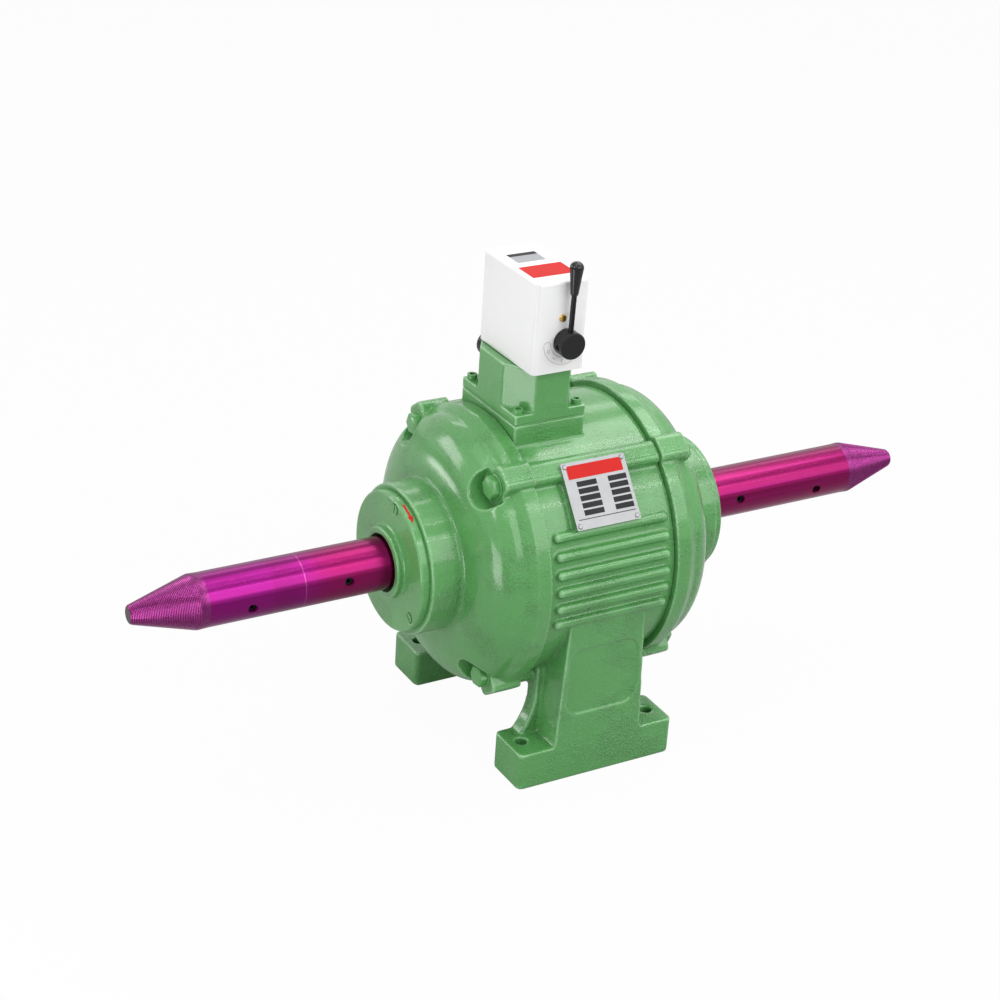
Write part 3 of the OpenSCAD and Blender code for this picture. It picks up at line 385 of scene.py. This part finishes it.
def print_piece(name, finish, outlines, matrix):
    """Ink on a surface: a thin slab for each outline of (x, y) points, placed by matrix."""
    bm = bmesh.new()
    for outline in outlines:
        skin(bm, [[matrix @ Vector((x, y, z)) for x, y in outline] for z in (-INK_SUNK, INK_PROUD)])
    return piece(name, mesh_of(name, bm), finish, "housing")


THREAD_PITCH = 0.0014
THREAD_DEPTH = 0.00055
THREAD_AROUND = 80  # points in a turn
THREAD_ROWS = 6  # rings of points in a pitch
RUN_IN_ROWS, RUN_OUT_ROWS = 45, 4  # over which the thread grows, and dies out


def taper_radius(x):
    return SPINDLE_RADIUS + (TIP_RADIUS - SPINDLE_RADIUS) * max(0.0, (x - SHOULDER) / (TIP - SHOULDER))


def taper_thread(name, side):
    """A helical thread proud of the spindle's taper, from just behind its shoulder to the tip."""
    start, end = SHOULDER - 0.008, TIP - 0.0006
    rows = int((end - start) / THREAD_PITCH * THREAD_ROWS)
    rings, crests = [], []
    for i in range(rows + 1):
        x = start + (end - start) * i / rows
        fade = min(1.0, i / RUN_IN_ROWS, (rows - i) / RUN_OUT_ROWS)
        ring = []
        for j in range(THREAD_AROUND):
            turn = j / THREAD_AROUND
            height = fade * (1 - abs(2 * ((x / THREAD_PITCH + turn) % 1) - 1))
            r = taper_radius(x) + 0.00004 + THREAD_DEPTH * height
            ring.append((side * x, r * cos(2 * pi * turn), AXIS_HEIGHT + r * sin(2 * pi * turn)))
            crests.append(height + 0.45 * (1 - fade))
        rings.append(ring)
    for x in (end, start):  # the sleeve's inner wall, 1 mm under the spindle's surface
        inner = circle(taper_radius(x) - 0.001, THREAD_AROUND)
        rings.append([(side * x, y, AXIS_HEIGHT + z) for y, z in inner])
    bm = bmesh.new()
    skin(bm, rings, closed=True)
    mesh = mesh_of(name, bm, 60)
    crest = mesh.attributes.new("crest", "FLOAT", "POINT")
    for vertex, height in enumerate(crests):
        crest.data[vertex].value = height
    return piece(name, mesh, thread_finish, "rotor")


# Profiles of a washer and of a bolt's head, as (radius, height) from the lug's face.
WASHER = ((0.0118, 0), (0.0120, 0.0004), (0.0118, 0.0012), (0.0108, 0.0013))
HEXAGON = ((0.0105, 0.0012), (0.0109, 0.0016), (0.0109, 0.0070), (0.0100, 0.0083), (0.0086, 0.0087))


def hexagon_bolts(name, side, node):
    """Shield bolts with washers and chamfered hexagon heads, thick with paint."""
    bm = bmesh.new()
    for angle in BOLT_ANGLES:
        place = (Matrix.Translation((0, 0, AXIS_HEIGHT)) @ Matrix.Rotation(angle, 4, "X")
                 @ Matrix.Translation((side * LUG_FACE, 0, BOLT_CIRCLE))
                 @ Matrix.Rotation(side * pi / 2, 4, "Y"))
        for profile, sides in ((WASHER, 36), (HEXAGON, 6)):
            skin(bm, [[place @ Vector((x, y, z)) for x, y in circle(r, sides)] for r, z in profile])
    mesh = worked(name, mesh_of(name, bm), ("BEVEL", {"width": 0.0006, "segments": 3,
                  "limit_method": "ANGLE", "angle_limit": radians(25)}))
    mesh.shade_smooth()
    mesh.set_sharp_from_angle(angle=radians(50))
    return piece(name, mesh, fine_enamel, BODY[node], [node])


def rotation_arrow(name, side):
    """Red arrow along the rim of a bearing cover that shows the way of turning."""
    start, end, head = radians(14), radians(33), radians(6)
    stations = [(start + (end - head - start) * i / 10, 0.0011) for i in range(11)]
    stations += [(end - head, 0.0030), (end - head / 2, 0.0015), (end, 0.0002)]
    low, high = COVER_RADIUS - 0.0001, COVER_RADIUS + 0.00012
    bm = bmesh.new()
    skin(bm, [[(side * COVER_RIM + dx, -r * sin(a), AXIS_HEIGHT + r * cos(a))
               for dx, r in ((-half, low), (half, low), (half, high), (-half, high))]
              for a, half in stations])
    return piece(name, mesh_of(name, bm), red_print, "housing")


for name, node, grain, quick_grain in (("frame_casting", "motor_frame", 0.0013, 0.0020),
                                       ("left_shield_casting", "left_end_shield", 0.0012, 0.0018),
                                       ("right_shield_casting", "right_end_shield", 0.0012, 0.0018)):
    cast_copy(name, node, grain, 0.30, 5)
cast_copy("tower_casting", "switch_tower", 0.0009, 0.35, 4)
cast_copy("left_cover_casting", "left_bearing_cover", 0.0008, 0.30, 3)
cast_copy("right_cover_casting", "right_bearing_cover", 0.0008, 0.30, 3)
hexagon_bolts("left_hexagon_bolts", -1, "left_shield_bolts")
hexagon_bolts("right_hexagon_bolts", 1, "right_shield_bolts")
taper_thread("left_taper_thread", -1)
taper_thread("right_taper_thread", 1)
rotation_arrow("left_rotation_arrow", -1)

plate = (Matrix.Translation((PLATE_MIDDLE[0], 0, AXIS_HEIGHT)) @ Matrix.Rotation(PLATE_TILT, 4, "X")
         @ Matrix.Translation((0, PLATE_MIDDLE[1], PLATE_FACE)))


def on_plate(u0, v0, u1, v1, r):
    """Outline on the nameplate between shares of its width, and of its height from the top."""
    wide, tall = PLATE_SIZE
    return rounded((u0 - 0.5) * wide, (0.5 - v1) * tall, (u1 - 0.5) * wide, (0.5 - v0) * tall, r)


print_piece("nameplate_header", red_print, [on_plate(0.07, 0.05, 0.93, 0.25, 0.001)], plate)
cells = [on_plate(u0, 0.295 + 0.107 * row, u1, 0.375 + 0.107 * row, 0.0003)
         for row in range(5) for u0, u1 in ((0.17, 0.48), (0.66, 0.95))]
rule = on_plate(0.06, 0.845, 0.95, 0.857, 0.0001)
print_piece("nameplate_cells", black_print, cells + [rule], plate)

box_top = Matrix.Translation(BOX_TOP_MIDDLE)
for name, finish, outline in (
        ("box_red_label", red_print, rounded(-0.0225, -0.0325, 0.021, -0.0055, 0.0006)),
        ("box_grey_label", grey_print, rounded(-0.0165, 0.0045, 0.0125, 0.0198, 0.0005)),
        ("box_dark_band", black_print, rounded(-0.0165, 0.02, 0.0125, 0.0262, 0.0005))):
    print_piece(name, finish, [outline], box_top)

# The dial is a band of line round the hub with rounded ends, and a 0, a dash and a 1 in it.
DIAL_RADIUS = 0.0185
DIAL_ENDS = (186, 286)
dial = Matrix.Translation(PIVOT) @ Matrix.Rotation(pi / 2, 4, "X")
marks = [arc_band(DIAL_RADIUS + out - 0.0002, DIAL_RADIUS + out + 0.0002, *DIAL_ENDS)
         for out in (0.0035, -0.0035)]
for a, way in zip(DIAL_ENDS, (-1, 1)):
    x, y = DIAL_RADIUS * cos(radians(a)), DIAL_RADIUS * sin(radians(a))
    marks.append([(x + r * cos(radians(a + way * t)), y + r * sin(radians(a + way * t)))
                  for r, turns in ((0.0037, range(0, 181, 15)), (0.0033, range(180, -1, -15)))
                  for t in turns])
zero_x, zero_y = DIAL_RADIUS * cos(radians(205)), DIAL_RADIUS * sin(radians(205))
zero = [(zero_x + r * cos(way * 2 * pi * i / 24), zero_y + r * 1.4 * sin(way * 2 * pi * i / 24))
        for r, way in ((0.0013, 1), (0.0009, -1)) for i in range(25)]
one = arc_band(0.0167, 0.0203, 262, 264, 2)
dash = arc_band(0.0182, 0.0188, 230, 240, 4)
print_piece("switch_dial", grey_print, [*marks, zero, one, dash], dial)


def lamp(name, place, aim, size, power):
    """A rectangular lamp of power in watts, which the camera doesn't see."""
    light = bpy.data.lights.new(name, "AREA")
    light.shape, light.size, light.size_y = "RECTANGLE", *size
    light.energy = power
    made = bpy.data.objects.new(name, light)
    made.location = place
    made.rotation_euler = (Vector(aim) - Vector(place)).to_track_quat("-Z", "Y").to_euler()
    made.visible_camera = False
    bpy.context.scene.collection.objects.link(made)


def seen_share(paint, mirrored):
    """1 for rays that show the background itself, to the camera or through glass, and less in mirrors."""
    camera, mirror, glass = (paint.node("ShaderNodeLightPath", output="Is %s Ray" % kind)
                             for kind in ("Camera", "Glossy", "Transmission"))
    return camera.math("MAXIMUM", camera.math("MAXIMUM", camera, glass), mirror * mirrored)


lamp("top softbox", (0.2, 0.1, 2.3), (0.2, 0.1, 0.2), (3.0, 1.6), 12)
lamp("upper right softbox", (1.15, 0.25, 2.2), (0, 0, 0.3), (1.3, 0.9), 12)
lamp("front softbox", (0.9, -2.6, 1.9), (0, 0, 0.2), (3.4, 2.1), 58)
lamp("rear strip light", (1.0, 1.9, 1.9), (0, 0, 0.25), (2.4, 0.4), 7)
lamp("left rear softbox", (-1.5, 1.4, 0.9), (0, 0, 0.25), (0.8, 0.7), 9)
lamp("left card", (-0.78, -0.22, 0.10), (0, -0.03, 0.3), (0.26, 0.30), 1.3)
lamp("left rear card", (-0.8, 0.75, 0.06), (-0.1, 0, 0.25), (0.3, 0.1), 0.6)
lamp("key light", (-1.5, -0.35, 1.15), (0, 0, 0.25), (0.3, 0.6), 4.4)
for index, (y, z) in enumerate(((-0.95, 1.25), (-0.45, 1.5), (0.05, 1.6))):
    lamp("strip %d" % index, (0.2, y, z), (0.2, 0, AXIS_HEIGHT), (2.2, 0.018), 2.0)

world = bpy.data.worlds.new("studio")
sky = Paint(world)
glow, plain = (sky.node("ShaderNodeBackground", None, {"Color": (1, 1, 1, 1), "Strength": strength})
               for strength in (1.0, 0.35))
sky.show(sky.node("ShaderNodeMixShader", None, {0: seen_share(sky, 0.9), 1: plain, 2: glow}),
         "ShaderNodeOutputWorld")

floor_paint = new_paint("pale floor")
cloth = floor_paint.node("ShaderNodeBsdfDiffuse", None, {
    "Color": floor_paint.blend(floor_paint.blotches(0.4), (0.50, 0.50, 0.50), (0.54, 0.54, 0.54))})
lit = floor_paint.node("ShaderNodeEmission", None, {"Color": (1, 1, 1, 1), "Strength": 1.0})
floor_paint.show(floor_paint.node("ShaderNodeMixShader", None,
                                  {0: seen_share(floor_paint, 0.1) * 0.97, 1: cloth, 2: lit}))
bm = bmesh.new()
bmesh.ops.create_grid(bm, x_segments=8, y_segments=8, size=9)
floor_mesh = mesh_of("floor", bm)
floor_mesh.materials.append(floor_paint.owner)
floor = bpy.data.objects.new("floor", floor_mesh)
floor.location.z = -0.0005
bpy.context.scene.collection.objects.link(floor)

EYE = (-1.0440, -1.6359, 1.1834)
FOCAL_PIXELS = 2295.5  # in a picture 1000 pixels wide
camera = bpy.data.objects.new("camera", bpy.data.cameras.new("camera"))
bpy.context.scene.collection.objects.link(camera)
turn, lift, roll = radians(31.355), radians(26.310), radians(3.847)
ahead = Vector((sin(turn) * cos(lift), cos(turn) * cos(lift), -sin(lift)))
right = ahead.cross(Vector((0, 0, 1))).normalized()
up = right.cross(ahead)
right, up = cos(roll) * right + sin(roll) * up, cos(roll) * up - sin(roll) * right
camera.matrix_world = Matrix.Translation(EYE) @ Matrix((right, up, -ahead)).transposed().to_4x4()
camera.data.sensor_width = 36
camera.data.lens = FOCAL_PIXELS * 36 / 1000
camera.data.clip_start, camera.data.clip_end = 0.05, 50
bpy.context.scene.camera = camera
bpy.context.scene.world = world
bpy.context.scene.view_settings.view_transform = "Standard"
